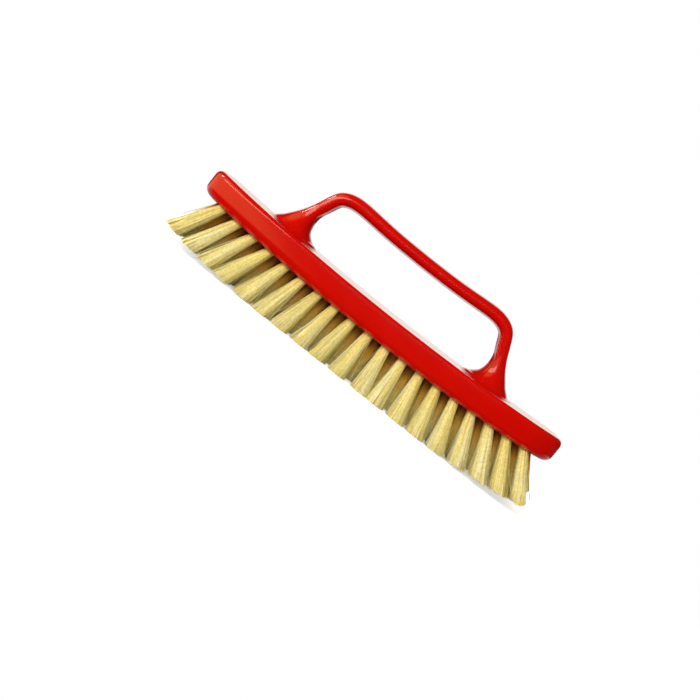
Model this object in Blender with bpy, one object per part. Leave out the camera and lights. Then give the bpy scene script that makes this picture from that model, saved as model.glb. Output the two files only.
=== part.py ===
"""Handled shoe brush, in metres, with +Z up and +X along its length.

One red moulding is both the block and the bridge handle. Blind holes that fan outwards are drilled
in its underside. Each hole holds a tuft of fibre, folded round a flat anchor wire. The brush stands
on its trimmed tips at z = 0, and the origin is the middle of its footprint.
"""

import math

import bmesh
import bpy
from mathutils import Matrix, Vector

# Block
BLOCK_LENGTH = 0.202
BLOCK_WIDTH = 0.062
BLOCK_THICKNESS = 0.0127
BLOCK_END_RISE = 0.0041
TOP_EDGE_RADIUS = 0.0018
BOTTOM_EDGE_RADIUS = 0.0036
OUTLINE_POWER = 4.6
OUTLINE_SIDES = 56
EDGE_SEGMENTS = 2
BLOCK_STRIPS = 14

# Bridge handle
HANDLE_RISE = 0.032
GRIP_THICKNESS = 0.0068
GRIP_WIDTH = 0.015
LEG_DEPTH = 0.00715
LEG_WIDTH = 0.014
LEG_INSET = 0.0435
FOOT_LENGTH = 0.028
FOOT_WIDTH = 0.027
STEPS_BETWEEN_SECTIONS = 2

# Sections from the middle of the grip to inside the block, each as its place along the block, as a
# share of the leg's offset, its height, as a share of the rise from the block's top, and how much of
# it is leg and how much is foot, the rest being grip.
HANDLE_SHARES = (
    (0.000, 1.000, 0.00, 0.00),
    (0.330, 1.011, 0.10, 0.00),
    (0.640, 1.051, 0.80, 0.00),
    (0.752, 1.037, 1.00, 0.00),
    (0.822, 0.985, 1.00, 0.00),
    (0.868, 0.897, 1.00, 0.00),
    (0.913, 0.699, 1.00, 0.00),
    (0.948, 0.538, 1.00, 0.00),
    (0.977, 0.355, 0.88, 0.12),
    (0.995, 0.197, 0.66, 0.34),
    (1.000, 0.076, 0.33, 0.67),
    (1.000, 0.010, 0.00, 1.00),
    (1.000, -0.080, -0.42, 1.42),
)

# A quarter of a section's outline, as shares of its half depth and half width. It is deepest at the
# mould's parting plane, and slopes from there to its rounded sides.
SECTION_SHARES = ((1.0, 0.0), (0.84, 0.6), (0.5, 0.9), (0.0, 1.0))

# Tufts
BRISTLE_REACH = 0.0223
TIP_TRIM = 0.0005
CROWN_RISE = 0.0053
CROWN_POWER = 2.5
TUFT_PITCH = 0.0097
END_INSET = 0.014
END_BOW = 0.0035
ROW_MARGIN = 0.0033
TIP_RADIUS = 0.0042
ROOT_STAND = 0.0011
END_LEAN = math.radians(30)
SIDE_LEAN = math.radians(21)
STRAND_WIDTH_SHARE = 0.86
STRANDS = 4

# Columns of tufts across the block, as shares of the outer columns' place, and their names.
COLUMN_SHARES = {
    "front_outer": -1.0,
    "front_inner": -0.5,
    "centre": 0.0,
    "rear_inner": 0.5,
    "rear_outer": 1.0,
}
INNER_COLUMNS = (COLUMN_SHARES["front_inner"], COLUMN_SHARES["rear_inner"])
STAGGER_SHARE = 0.5

# Drilled holes, and the slices of backing that each row of tufts is fused to
HOLE_RADIUS = 0.0024
HOLE_SIDES = 8
HOLE_FLOOR = 0.0037
ROOT_CLEARANCE = 0.0005
SLICE_THICKNESS = 0.001
SLICE_LEDGE = 0.0003
FIT_GAP = 0.0003
CUT_OVERRUN = 0.002

# Flat anchor wire
ANCHOR_HEIGHT = 0.002
ANCHOR_THICKNESS = 0.0005
ANCHOR_FROM_FLOOR = 0.0032
ANCHOR_BEND_SHARE = 0.5

MERGE_DISTANCE = 0.00001

# Places worked out from the sizes above
HALF_LENGTH = BLOCK_LENGTH / 2
HALF_WIDTH = BLOCK_WIDTH / 2
LEG_OFFSET = HALF_LENGTH - LEG_INSET
SLICE_INSET = BOTTOM_EDGE_RADIUS + SLICE_LEDGE
ROW_INSET = SLICE_INSET + ROW_MARGIN
HALF_SPAN = HALF_LENGTH - END_INSET
ROW_COUNT = 1 + round(2 * HALF_SPAN / TUFT_PITCH)
HOLE_DEPTH = BLOCK_THICKNESS - HOLE_FLOOR
ROOT_RADIUS = HOLE_RADIUS - ROOT_CLEARANCE
ROOT_DEPTH = HOLE_DEPTH - ROOT_CLEARANCE
ANCHOR_DEPTH = HOLE_DEPTH - ANCHOR_FROM_FLOOR


def clear_scene():
    for item in list(bpy.data.objects):
        bpy.data.objects.remove(item, do_unlink=True)


def new_collection(name):
    collection = bpy.data.collections.new(name)
    bpy.context.scene.collection.children.link(collection)
    return collection


def plain_material(name, colour, roughness, metallic):
    material = bpy.data.materials.new(name)
    material.use_nodes = True
    shader = material.node_tree.nodes["Principled BSDF"]
    shader.inputs["Base Color"].default_value = (*colour, 1)
    shader.inputs["Roughness"].default_value = roughness
    shader.inputs["Metallic"].default_value = metallic
    return material


def object_from(name, shape, collection, material=None):
    """Turns a bmesh into an object, which is a guide or a cutter when it has no material."""
    mesh = bpy.data.meshes.new(name)
    shape.to_mesh(mesh)
    shape.free()
    item = bpy.data.objects.new(name, mesh)
    collection.objects.link(item)
    if material:
        mesh.materials.append(material)
    else:
        item.display_type = "WIRE"
        item.hide_render = True
    return item


def boolean(item, other, operation):
    modifier = item.modifiers.new(other.name, "BOOLEAN")
    modifier.operation = operation
    modifier.solver = "EXACT"
    modifier.object = other


def face_height(x):
    """Height of the block's underside, which rises towards both ends as the whole block does."""
    return BRISTLE_REACH + BLOCK_END_RISE * (x / HALF_LENGTH) ** 2


def oval_reach(place, half, other_half):
    """How far the blunt oval reaches to either side, at a place along the axis that its first half lies on."""
    share = min(abs(place) / half, 1)
    return other_half * (1 - share**OUTLINE_POWER) ** (1 / OUTLINE_POWER)


def blunt_oval_plate(inset, low, high, bevels):
    """A plate with the block's outline, bent to its curve. Heights are from the block's underside."""
    shape = bmesh.new()
    bmesh.ops.create_circle(shape, cap_ends=True, segments=OUTLINE_SIDES, radius=HALF_LENGTH)
    for corner in shape.verts:
        angle = math.atan2(corner.co.y, corner.co.x)
        for axis, part, half in ((0, math.cos(angle), HALF_LENGTH), (1, math.sin(angle), HALF_WIDTH)):
            share = math.copysign(abs(part) ** (2 / OUTLINE_POWER), part)
            corner.co[axis] = share * (half - inset)
        corner.co.z = low
    raised = bmesh.ops.extrude_face_region(shape, geom=shape.faces[:])["geom"]
    for item in raised:
        if isinstance(item, bmesh.types.BMVert):
            item.co.z = high
    bmesh.ops.recalc_face_normals(shape, faces=shape.faces)
    for height, radius in bevels:
        rim = [edge for edge in shape.edges if all(abs(v.co.z - height) < MERGE_DISTANCE for v in edge.verts)]
        bmesh.ops.bevel(shape, geom=rim, offset=radius, segments=EDGE_SEGMENTS, profile=0.5, affect="EDGES")
    for strip in range(1, BLOCK_STRIPS):
        x = HALF_LENGTH * (2 * strip / BLOCK_STRIPS - 1)
        everything = shape.verts[:] + shape.edges[:] + shape.faces[:]
        bmesh.ops.bisect_plane(shape, geom=everything, dist=MERGE_DISTANCE, plane_co=(x, 0, 0), plane_no=(1, 0, 0))
    for corner in shape.verts:
        corner.co.z += face_height(corner.co.x)
    return shape


def loft(shape, rings):
    """Skins a run of closed rings, and caps both ends."""
    loops = [[shape.verts.new(point) for point in ring] for ring in rings]
    faces = [shape.faces.new(reversed(loops[0])), shape.faces.new(loops[-1])]
    for first, second in zip(loops, loops[1:]):
        for index, corner in enumerate(first):
            after = (index + 1) % len(first)
            faces.append(shape.faces.new((corner, first[after], second[after], second[index])))
    bmesh.ops.recalc_face_normals(shape, faces=faces)


def smooth_run(points, steps):
    """Points on a smooth curve through the given ones, with the same number of steps between each two."""
    padded = [points[0], *points, points[-1]]
    run = []
    for before, start, end, after in zip(padded, padded[1:], padded[2:], padded[3:]):
        for step in range(steps):
            t = step / steps
            run.append(
                start
                + (end - before) * (t / 2)
                + (2 * before - 5 * start + 4 * end - after) * (t * t / 2)
                + (3 * start - before - 3 * end + after) * (t * t * t / 2)
            )
    return [*run, points[-1]]


def handle_sections():
    """Each section's place along the block, height, depth and width, from the grip's middle outwards."""
    foot_height = face_height(LEG_OFFSET) + BLOCK_THICKNESS
    grip_height = face_height(0) + BLOCK_THICKNESS + HANDLE_RISE - GRIP_THICKNESS / 2
    sections = []
    for place, rise, leg, foot in HANDLE_SHARES:
        grip = 1 - leg - foot
        height = foot_height + rise * (grip_height - foot_height)
        depth = GRIP_THICKNESS * grip + LEG_DEPTH * leg + FOOT_LENGTH * foot
        width = GRIP_WIDTH * grip + LEG_WIDTH * leg + FOOT_WIDTH * foot
        sections.append(Vector((place * LEG_OFFSET, height, depth, width)))
    return smooth_run(sections, STEPS_BETWEEN_SECTIONS)


def section_outline():
    """A whole section's outline in shares, from its quarter."""
    quarter = list(SECTION_SHARES)
    half = quarter + [(-out, side) for out, side in reversed(quarter[:-1])]
    return half + [(out, -side) for out, side in reversed(half[1:-1])]


def handle_loop():
    right = handle_sections()
    left = [Vector((-section.x, *section[1:])) for section in reversed(right[1:])]
    sections = left + right
    rings = []
    for index, section in enumerate(sections):
        before = sections[max(index - 1, 0)]
        after = sections[min(index + 1, len(sections) - 1)]
        along = Vector((after.x - before.x, 0, after.y - before.y)).normalized()
        outward = Vector((-along.z, 0, along.x))
        middle = Vector((section.x, 0, section.y))
        depth, width = section.z, section.w
        ring = [
            middle + outward * (out * depth / 2) + Vector((0, side * width / 2, 0))
            for out, side in section_outline()
        ]
        rings.append(ring)
    shape = bmesh.new()
    loft(shape, rings)
    return shape


def tuft_place(step, column):
    """Where a tuft's axis meets the block's underside, and the way that the tuft leans."""
    along = (2 * step / (ROW_COUNT - 1) - 1) * HALF_SPAN
    x = along * (1 + END_BOW / HALF_SPAN * (1 - column**2))
    y = column * (oval_reach(along, HALF_LENGTH, HALF_WIDTH) - ROW_INSET)
    lean = END_LEAN * along / HALF_SPAN
    axis = Vector((math.tan(lean), math.tan(SIDE_LEAN * column), -1))
    return Vector((x, y, face_height(x))), axis.normalized()


def column_shift(column):
    """The inner columns sit half a pitch further on than the others."""
    return STAGGER_SHARE if column in INNER_COLUMNS else 0


def column_steps(column):
    """Where a column's tufts are, in pitches. A shifted column has one tuft less."""
    tufts = ROW_COUNT - 1 if column in INNER_COLUMNS else ROW_COUNT
    return [row + column_shift(column) for row in range(tufts)]


def axis_frame(place, axis, middle, sides):
    """A frame whose Z is the axis, turned so that a prism's flat side faces along the anchor wire."""
    towards_end = Vector((-1 if place.x < 0 else 1, 0, 0))
    along = (towards_end - axis * axis.dot(towards_end)).normalized()
    rotation = Matrix((along.cross(axis), along, axis)).transposed()
    return Matrix.Translation(middle) @ rotation.to_4x4() @ Matrix.Rotation(math.pi / sides, 4, "Z")


def add_prism(shape, place, axis, inner, outer, radius, sides, fans):
    """A prism round the axis, from the inner depth to the outer stand, whose ends may be fans of faces."""
    middle = place + axis * ((outer - inner) / 2)
    known = set(shape.faces)
    bmesh.ops.create_cone(
        shape,
        cap_ends=True,
        cap_tris=fans,
        segments=sides,
        radius1=radius,
        radius2=radius,
        depth=inner + outer,
        matrix=axis_frame(place, axis, middle, sides),
    )
    shape.normal_update()
    return [face for face in shape.faces if face not in known]


def crown_height(x):
    """Height of the trimmed tips, cut flat where the brush stands on them."""
    natural = CROWN_RISE * (abs(x) / HALF_LENGTH) ** CROWN_POWER - TIP_TRIM
    return max(natural, 0)


def add_tuft(shape, place, axis):
    """A tuft's folded root in its hole, and the strands that fan out of it down to the trimmed tips."""
    faces = add_prism(shape, place, axis, ROOT_DEPTH, ROOT_STAND, ROOT_RADIUS, STRANDS, True)
    sectors = [face for face in faces if face.normal.dot(axis) > 0.9]
    root = place + axis * ROOT_STAND
    goal = root + axis * (root.z / -axis.z)
    spread = TIP_RADIUS / ROOT_RADIUS
    tips = bmesh.ops.extrude_discrete_faces(shape, faces=sectors)["faces"]
    for tip in tips:
        middle = tip.calc_center_median() - root
        for corner in tip.verts:
            start = corner.co.copy()
            offset = middle + (start - root - middle) * STRAND_WIDTH_SHARE
            end = goal + offset * spread
            share = (start.z - crown_height(end.x)) / (start.z - end.z)
            corner.co = start + (end - start) * share


def row_slice(row):
    """The slice of the block's face that a row of tufts is fused to, zigzag between its columns."""
    columns = list(COLUMN_SHARES.values())
    half_length = HALF_LENGTH - SLICE_INSET - FIT_GAP
    half_width = HALF_WIDTH - SLICE_INSET - FIT_GAP
    shape = bmesh.new()
    bmesh.ops.create_grid(shape, x_segments=1, y_segments=len(columns) + 1, size=1)
    for corner in shape.verts:
        index = round((corner.co.y + 1) / 2 * (len(columns) + 1)) - 1
        column = columns[min(max(index, 0), len(columns) - 1)]
        side = math.copysign(0.5, corner.co.x)
        is_end = (row == 0 and side < 0) or (row == ROW_COUNT - 1 and side > 0)
        place = tuft_place(row + side + column_shift(column), column)[0]
        x = place.x - math.copysign(FIT_GAP / 2, side)
        y = place.y
        if index < 0 or index == len(columns):
            beside = tuft_place(row, column)[0].x if is_end else x
            y = math.copysign(oval_reach(beside, half_length, half_width), column)
        if is_end:
            x = math.copysign(oval_reach(y, half_width, half_length), side)
        corner.co = (x, y, face_height(x))
    raised = bmesh.ops.extrude_face_region(shape, geom=shape.faces[:])["geom"]
    for item in raised:
        if isinstance(item, bmesh.types.BMVert):
            item.co.z += SLICE_THICKNESS
    bmesh.ops.recalc_face_normals(shape, faces=shape.faces)
    return shape


def row_tufts(row):
    shape = bmesh.new()
    for column in COLUMN_SHARES.values():
        step = row + column_shift(column)
        if step in column_steps(column):
            add_tuft(shape, *tuft_place(step, column))
    return shape


def add_anchor(shape, column, growth):
    """A column's anchor wire, through every fold and bent between them, larger all round by the growth."""
    steps = column_steps(column)
    middles = []
    for step in [steps[0] - 1, *steps]:
        place, axis = tuft_place(step + ANCHOR_BEND_SHARE, column)
        middles.append(place - axis * ANCHOR_DEPTH)
    middles[0].x -= growth
    middles[-1].x += growth
    y = ANCHOR_THICKNESS / 2 + growth
    z = ANCHOR_HEIGHT / 2 + growth
    corners = [Vector((0, *corner)) for corner in ((-y, -z), (y, -z), (y, z), (-y, z))]
    loft(shape, [[middle + corner for corner in corners] for middle in middles])


def make_cutters(collection):
    slices = object_from(
        "slice_recess",
        blunt_oval_plate(SLICE_INSET, -CUT_OVERRUN, SLICE_THICKNESS + FIT_GAP, ()),
        collection,
    )
    anchors = bmesh.new()
    holes = bmesh.new()
    for column in COLUMN_SHARES.values():
        add_anchor(anchors, column, FIT_GAP)
        for step in column_steps(column):
            place, axis = tuft_place(step, column)
            add_prism(holes, place, axis, HOLE_DEPTH, CUT_OVERRUN, HOLE_RADIUS, HOLE_SIDES, False)
    slots = object_from("anchor_slots", anchors, collection)
    return slices, slots, object_from("tuft_holes", holes, collection)


def make_handle_block(collection, cutters, recess, slots, holes):
    """The one-piece moulding: the block, joined to its handle, recessed, slotted and drilled."""
    red = plain_material("red_gloss_plastic", (0.62, 0.012, 0.008), 0.25, 0)
    bevels = ((0, BOTTOM_EDGE_RADIUS), (BLOCK_THICKNESS, TOP_EDGE_RADIUS))
    block = object_from("handle_block", blunt_oval_plate(0, 0, BLOCK_THICKNESS, bevels), collection, red)
    handle = object_from("handle_loop", handle_loop(), cutters)
    boolean(block, handle, "UNION")
    boolean(block, recess, "DIFFERENCE")
    boolean(block, slots, "DIFFERENCE")
    boolean(block, holes, "DIFFERENCE")
    block.data.shade_smooth()
    block.data.set_sharp_from_angle(angle=math.radians(35))


def make_tuft_row(collection, cutters, row, slots):
    """One row of tufts, fused to its slice of the block's face, with room for the anchors in its folds."""
    name = f"tuft_row_{row + 1:02d}"
    straw = plain_material(f"{name}_fibre", (0.60, 0.50, 0.22), 0.6, 0)
    item = object_from(name, row_slice(row), collection, straw)
    boolean(item, object_from(f"{name}_strands", row_tufts(row), cutters), "UNION")
    boolean(item, slots, "DIFFERENCE")


def make_anchor(collection, name, column):
    steel = plain_material(f"{name}_steel", (0.55, 0.55, 0.53), 0.35, 1)
    shape = bmesh.new()
    add_anchor(shape, column, 0)
    object_from(name, shape, collection, steel)


def main():
    clear_scene()
    brush = new_collection("shoe_brush")
    cutters = new_collection("guides_and_cutters")
    recess, slots, holes = make_cutters(cutters)
    make_handle_block(brush, cutters, recess, slots, holes)
    for row in range(ROW_COUNT):
        make_tuft_row(brush, cutters, row, slots)
    for name, column in COLUMN_SHARES.items():
        make_anchor(brush, f"anchor_wire_{name}", column)


main()
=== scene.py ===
# %% [markdown]
# # A handled shoe brush
# The brush is one red moulding, a long block with a bridge handle, and 93 tufts of stiff
# straw-coloured fibre in its underside. The CAD model gives the sizes and the places. This script
# dresses it: it models the moulding again with smooth curves, and every tuft fibre by fibre.

import math

import bmesh
import bpy
import numpy as np
from mathutils import Matrix, Vector


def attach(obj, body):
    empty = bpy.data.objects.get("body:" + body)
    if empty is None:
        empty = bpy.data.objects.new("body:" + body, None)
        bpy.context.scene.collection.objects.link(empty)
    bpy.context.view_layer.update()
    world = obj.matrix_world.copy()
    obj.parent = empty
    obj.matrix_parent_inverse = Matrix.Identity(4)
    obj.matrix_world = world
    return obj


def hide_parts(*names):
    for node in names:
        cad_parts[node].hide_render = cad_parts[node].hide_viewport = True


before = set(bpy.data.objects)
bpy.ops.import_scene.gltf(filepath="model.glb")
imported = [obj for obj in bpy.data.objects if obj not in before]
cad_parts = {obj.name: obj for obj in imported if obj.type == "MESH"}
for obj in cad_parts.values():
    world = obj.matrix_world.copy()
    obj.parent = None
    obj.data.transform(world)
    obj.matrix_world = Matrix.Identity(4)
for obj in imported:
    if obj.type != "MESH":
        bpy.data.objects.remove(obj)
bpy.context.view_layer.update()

# %% [markdown]
# ## The sizes
# A model made by hand starts from a drawing. These are the drawing's sizes in metres, the same as
# the CAD model's. The brush stands on its tips at z = 0, with +X along it and +Z up to the handle.

# %% Sizes of the moulding
BLOCK_LENGTH = 0.202
BLOCK_WIDTH = 0.062
BLOCK_THICKNESS = 0.0127
BLOCK_END_RISE = 0.0041
TOP_EDGE_RADIUS = 0.0018
BOTTOM_EDGE_RADIUS = 0.0036
OUTLINE_POWER = 4.6
HANDLE_RISE = 0.032
GRIP_THICKNESS = 0.0068
GRIP_WIDTH = 0.015
LEG_DEPTH = 0.00715
LEG_WIDTH = 0.014
LEG_INSET = 0.0435
FOOT_LENGTH = 0.028
FOOT_WIDTH = 0.027
BRISTLE_REACH = 0.0223
TOUCHING = 0.00001

HALF_LENGTH = BLOCK_LENGTH / 2
HALF_WIDTH = BLOCK_WIDTH / 2
LEG_OFFSET = HALF_LENGTH - LEG_INSET


def face_height(x):
    """Height of the block's underside, which rises towards both ends."""
    return BRISTLE_REACH + BLOCK_END_RISE * (x / HALF_LENGTH) ** 2


def oval_share(share):
    """How far a blunt oval of half size 1 reaches to the side, at a place along its axis."""
    return (1 - min(abs(share), 1) ** OUTLINE_POWER) ** (1 / OUTLINE_POWER)


print("underside at the middle, mm:", 1000 * face_height(0))
print("underside at the ends, mm:", 1000 * face_height(HALF_LENGTH))

# %% [markdown]
# ## Small helpers
# Blender's operators act on whatever is selected, and loading the frame leaves its nodes selected.
# So each step starts with nothing selected, and then picks its own points by where they are.

# %% Helpers for selecting and editing


def clear_selection():
    """Leaves edit mode and selects nothing."""
    if bpy.context.object and bpy.context.object.mode != "OBJECT":
        bpy.ops.object.mode_set(mode="OBJECT")
    bpy.ops.object.select_all(action="DESELECT")


def choose(piece):
    """Leaves one piece selected and active, in object mode."""
    clear_selection()
    bpy.context.view_layer.objects.active = piece
    piece.select_set(True)


def edit(piece):
    """Opens a piece in edit mode with nothing selected in it."""
    choose(piece)
    bpy.ops.object.mode_set(mode="EDIT")
    bpy.ops.mesh.select_mode(type="VERT")
    bpy.ops.mesh.select_all(action="DESELECT")


def pick(piece, kind, wanted):
    """Selects the faces, edges or points of a piece in edit mode for which wanted(item) is true."""
    bpy.ops.mesh.select_mode(type={"faces": "FACE", "edges": "EDGE", "verts": "VERT"}[kind])
    bpy.ops.mesh.select_all(action="DESELECT")
    shape = bmesh.from_edit_mesh(piece.data)
    picked = [item for item in getattr(shape, kind) if wanted(item)]
    for item in picked:
        item.select_set(True)
    shape.select_flush_mode()
    bmesh.update_edit_mesh(piece.data)
    return len(picked)


def middle_of(item):
    """Middle of a face or an edge."""
    return sum((corner.co for corner in item.verts), Vector()) / len(item.verts)


def apply_modifier(piece, kind, **settings):
    """Changes a piece by a modifier of this kind."""
    choose(piece)
    modifier = piece.modifiers.new(kind.lower(), kind)
    for name, value in settings.items():
        setattr(modifier, name, value)
    bpy.ops.object.modifier_apply(modifier=modifier.name)


def report(piece):
    """Prints how many triangles a piece has."""
    piece.data.calc_loop_triangles()
    print(piece.name, "has", len(piece.data.loop_triangles), "triangles")


# %% [markdown]
# ## The block
# The real block is part of one injection moulding: a blunt oval plate with a tight radius round its
# top and a softer one round its underside, bowed a little so that its ends rise. It could be a
# beveled n-gon, but then its flat faces would have no points to bow. A grid of cells keeps the bow
# smooth, and gives square holes of cells that the handle's two feet can grow from. So the top
# starts as a grid, slid to the blunt oval by a formula, because no operator knows that curve.

# %% Lay out the top and the underside
LONG_CELLS = 40
WIDE_CELLS = 12
RIM_LAND = 0.005
CORNER_SHARE = 0.5 ** (1 / OUTLINE_POWER)
INNER_LENGTH = HALF_LENGTH - RIM_LAND
INNER_WIDTH = HALF_WIDTH - RIM_LAND
END_BLEND = 8

clear_selection()
bpy.ops.mesh.primitive_grid_add(x_subdivisions=LONG_CELLS, y_subdivisions=WIDE_CELLS, size=2)
moulding = bpy.context.object
moulding.name = "moulded_block_and_handle"
for point in moulding.data.vertices:
    long, wide = point.co.x, point.co.y
    rounding = oval_share(CORNER_SHARE * wide) / CORNER_SHARE - 1
    point.co.x = INNER_LENGTH * CORNER_SHARE * long * (1 + rounding * abs(long) ** END_BLEND)
    point.co.y = INNER_WIDTH * wide * oval_share(CORNER_SHARE * long)

edit(moulding)
bpy.ops.mesh.select_all(action="SELECT")
bpy.ops.mesh.duplicate_move(TRANSFORM_OT_translate={"value": (0, 0, -BLOCK_THICKNESS)})
print("points in both faces:", len(bmesh.from_edit_mesh(moulding.data).verts))

# %% [markdown]
# ### The rounded rim
# Each ring of the rim is the last one extruded, scaled out or in, and moved down. The steps follow
# a quarter circle at the top edge, the upright side, and a larger quarter circle at the bottom.

# %% Extrude the rim from the top down to the underside
TOP_STEPS = 5
BOTTOM_STEPS = 6


def rim_profile():
    """Each ring's inset from the outline and its depth below the top."""
    rings = [(TOP_EDGE_RADIUS, 0)]
    for step in range(1, TOP_STEPS + 1):
        turn = math.radians(90) * step / TOP_STEPS
        inset = TOP_EDGE_RADIUS * (1 - math.sin(turn))
        rings.append((inset, TOP_EDGE_RADIUS * (1 - math.cos(turn))))
    rings.append((0, BLOCK_THICKNESS / 2))
    for step in range(BOTTOM_STEPS + 1):
        turn = math.radians(90) * step / BOTTOM_STEPS
        inset = BOTTOM_EDGE_RADIUS * (1 - math.cos(turn))
        rings.append((inset, BLOCK_THICKNESS - BOTTOM_EDGE_RADIUS * (1 - math.sin(turn))))
    return [*rings, (RIM_LAND, BLOCK_THICKNESS)]


pick(moulding, "edges", lambda edge: edge.is_boundary and edge.verts[0].co.z > -BLOCK_THICKNESS / 2)
inset, depth = RIM_LAND, 0
for next_inset, next_depth in rim_profile():
    bpy.ops.mesh.extrude_region_move(TRANSFORM_OT_translate={"value": (0, 0, depth - next_depth)})
    wider = (HALF_LENGTH - next_inset) / (HALF_LENGTH - inset)
    deeper = (HALF_WIDTH - next_inset) / (HALF_WIDTH - inset)
    bpy.ops.transform.resize(value=(wider, deeper, 1))
    inset, depth = next_inset, next_depth

bpy.ops.mesh.select_all(action="SELECT")
bpy.ops.mesh.remove_doubles(threshold=TOUCHING)
bpy.ops.mesh.normals_make_consistent(inside=False)
print("open edges left:", pick(moulding, "edges", lambda edge: not edge.is_manifold))

# %% [markdown]
# ### Rounder ends
# In the photo the top edge is tight along the sides and rounder at the ends, so its radius grows
# from 1.8 mm to 3 mm. A ring of the top's rounding is known by its depth and its inset, so its
# points near the ends are moved to where the same ring of a larger quarter circle would be.

# %% Widen the top's rounding towards the ends
END_EDGE_RADIUS = 0.003
WIDENS_FROM = 0.05
WIDENS_TO = 0.098
RING_TOLERANCE = 0.002


def lies_on_ring(spot, inset, depth):
    """Whether a point is on the blunt oval that is this much smaller and this far down."""
    long = abs(spot.x) / (HALF_LENGTH - inset)
    wide = abs(spot.y) / (HALF_WIDTH - inset)
    off_oval = abs(long**OUTLINE_POWER + wide**OUTLINE_POWER - 1)
    return abs(spot.z + depth) < TOUCHING and off_oval < RING_TOLERANCE


shape = bmesh.from_edit_mesh(moulding.data)
widened = 0
for inset, depth in rim_profile()[: TOP_STEPS + 1]:
    for corner in [c for c in shape.verts if lies_on_ring(c.co, inset, depth)]:
        share = min(max((abs(corner.co.x) - WIDENS_FROM) / (WIDENS_TO - WIDENS_FROM), 0), 1)
        eased = share * share * (3 - 2 * share)
        growth = (END_EDGE_RADIUS / TOP_EDGE_RADIUS - 1) * eased
        corner.co.x *= 1 - growth * inset / (HALF_LENGTH - inset)
        corner.co.y *= 1 - growth * inset / (HALF_WIDTH - inset)
        corner.co.z = -depth * (1 + growth)
        widened += growth > 0
bmesh.update_edit_mesh(moulding.data)
print("points moved:", widened)

# %% [markdown]
# ### The bow
# Blender's Bend operator needs a window, so the bow is a formula: each point is lifted by the
# height of the underside at its place along the block.

# %% Bow the block
NEAR_MIDDLE = 0.001

shape = bmesh.from_edit_mesh(moulding.data)
for corner in shape.verts:
    corner.co.z += BLOCK_THICKNESS + face_height(corner.co.x)
bmesh.update_edit_mesh(moulding.data)
middle_top = max(corner.co.z for corner in shape.verts if abs(corner.co.x) < NEAR_MIDDLE)
print("top of the block at its middle, mm:", 1000 * middle_top)

# %% [markdown]
# ## The bridge handle
# The handle is moulded in one with the block, so it grows out of the block's top. A square of cells
# is taken out under each foot. The edge of the right-hand one is extruded ring by ring, up the leg,
# along the grip and down to the other foot, and bridged to the other edge. Each ring is a section
# of the handle: nearly round at the feet, and flat with a soft ridge on the grip, where the two
# halves of the mould meet. The foot's last rings lie down on the block, which makes the fillet.

# %% The handle's sections
# Place along the block as a share of the leg's offset, height as a share of the rise from the
# block's top, and how much of the section is leg and how much is foot. The rest is grip.
HANDLE_SHARES = (
    (0.000, 1.000, 0.00, 0.00),
    (0.330, 1.011, 0.10, 0.00),
    (0.640, 1.051, 0.80, 0.00),
    (0.752, 1.037, 1.00, 0.00),
    (0.822, 0.985, 1.00, 0.00),
    (0.868, 0.897, 1.00, 0.00),
    (0.913, 0.699, 1.00, 0.00),
    (0.948, 0.538, 1.00, 0.00),
    (0.977, 0.355, 0.88, 0.12),
    (0.995, 0.197, 0.66, 0.34),
    (1.000, 0.076, 0.33, 0.67),
    (1.000, 0.024, 0.08, 0.92),
    (1.000, 0.005, -0.08, 1.08),
    (1.000, 0.000, -0.16, 1.16),
)
# A quarter of the section from the ridge to the side, as shares of its half depth and half width.
RIDGED_QUARTER = (
    (1.0, 0.0), (0.96, 0.15), (0.92, 0.3), (0.88, 0.45),
    (0.83, 0.6), (0.735, 0.755), (0.56, 0.885), (0.3, 0.97), (0.0, 1.0),
)
QUARTER_SIDES = len(RIDGED_QUARTER) - 1
SECTION_SIDES = 4 * QUARTER_SIDES
STEPS_BETWEEN_SECTIONS = 3
SINE_DIGITS = 6


def smooth_run(points, steps):
    """Points on a smooth curve through the given ones."""
    padded = [points[0], *points, points[-1]]
    run = []
    for before, start, end, after in zip(padded, padded[1:], padded[2:], padded[3:]):
        for step in range(steps):
            t = step / steps
            run.append(
                start
                + (end - before) * (t / 2)
                + (2 * before - 5 * start + 4 * end - after) * (t * t / 2)
                + (3 * start - before - 3 * end + after) * (t * t * t / 2)
            )
    return [*run, points[-1]]


def half_of_handle():
    """Each section's place, height, depth, width and share of foot, from the grip's middle out."""
    foot_height = face_height(LEG_OFFSET) + BLOCK_THICKNESS
    grip_height = face_height(0) + BLOCK_THICKNESS + HANDLE_RISE - GRIP_THICKNESS / 2
    sections = []
    for place, rise, leg, foot in HANDLE_SHARES:
        grip = 1 - leg - foot
        height = foot_height + rise * (grip_height - foot_height)
        section_depth = GRIP_THICKNESS * grip + LEG_DEPTH * leg + FOOT_LENGTH * foot
        section_width = GRIP_WIDTH * grip + LEG_WIDTH * leg + FOOT_WIDTH * foot
        sections.append(np.array((place * LEG_OFFSET, height, section_depth, section_width, foot)))
    return smooth_run(sections, STEPS_BETWEEN_SECTIONS)


def outline_share(index, foot):
    """A point of the section's outline: ridged on the grip and the legs, round at the feet."""
    turn = 2 * math.pi * index / SECTION_SIDES
    quarter, step = divmod(index, QUARTER_SIDES)
    out, side = RIDGED_QUARTER[QUARTER_SIDES - step if quarter % 2 else step]
    out = math.copysign(out, round(math.cos(turn), SINE_DIGITS) or 1)
    side = math.copysign(side, round(math.sin(turn), SINE_DIGITS) or 1)
    roundness = min(max(foot, 0), 1)
    return out + (math.cos(turn) - out) * roundness, side + (math.sin(turn) - side) * roundness


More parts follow.
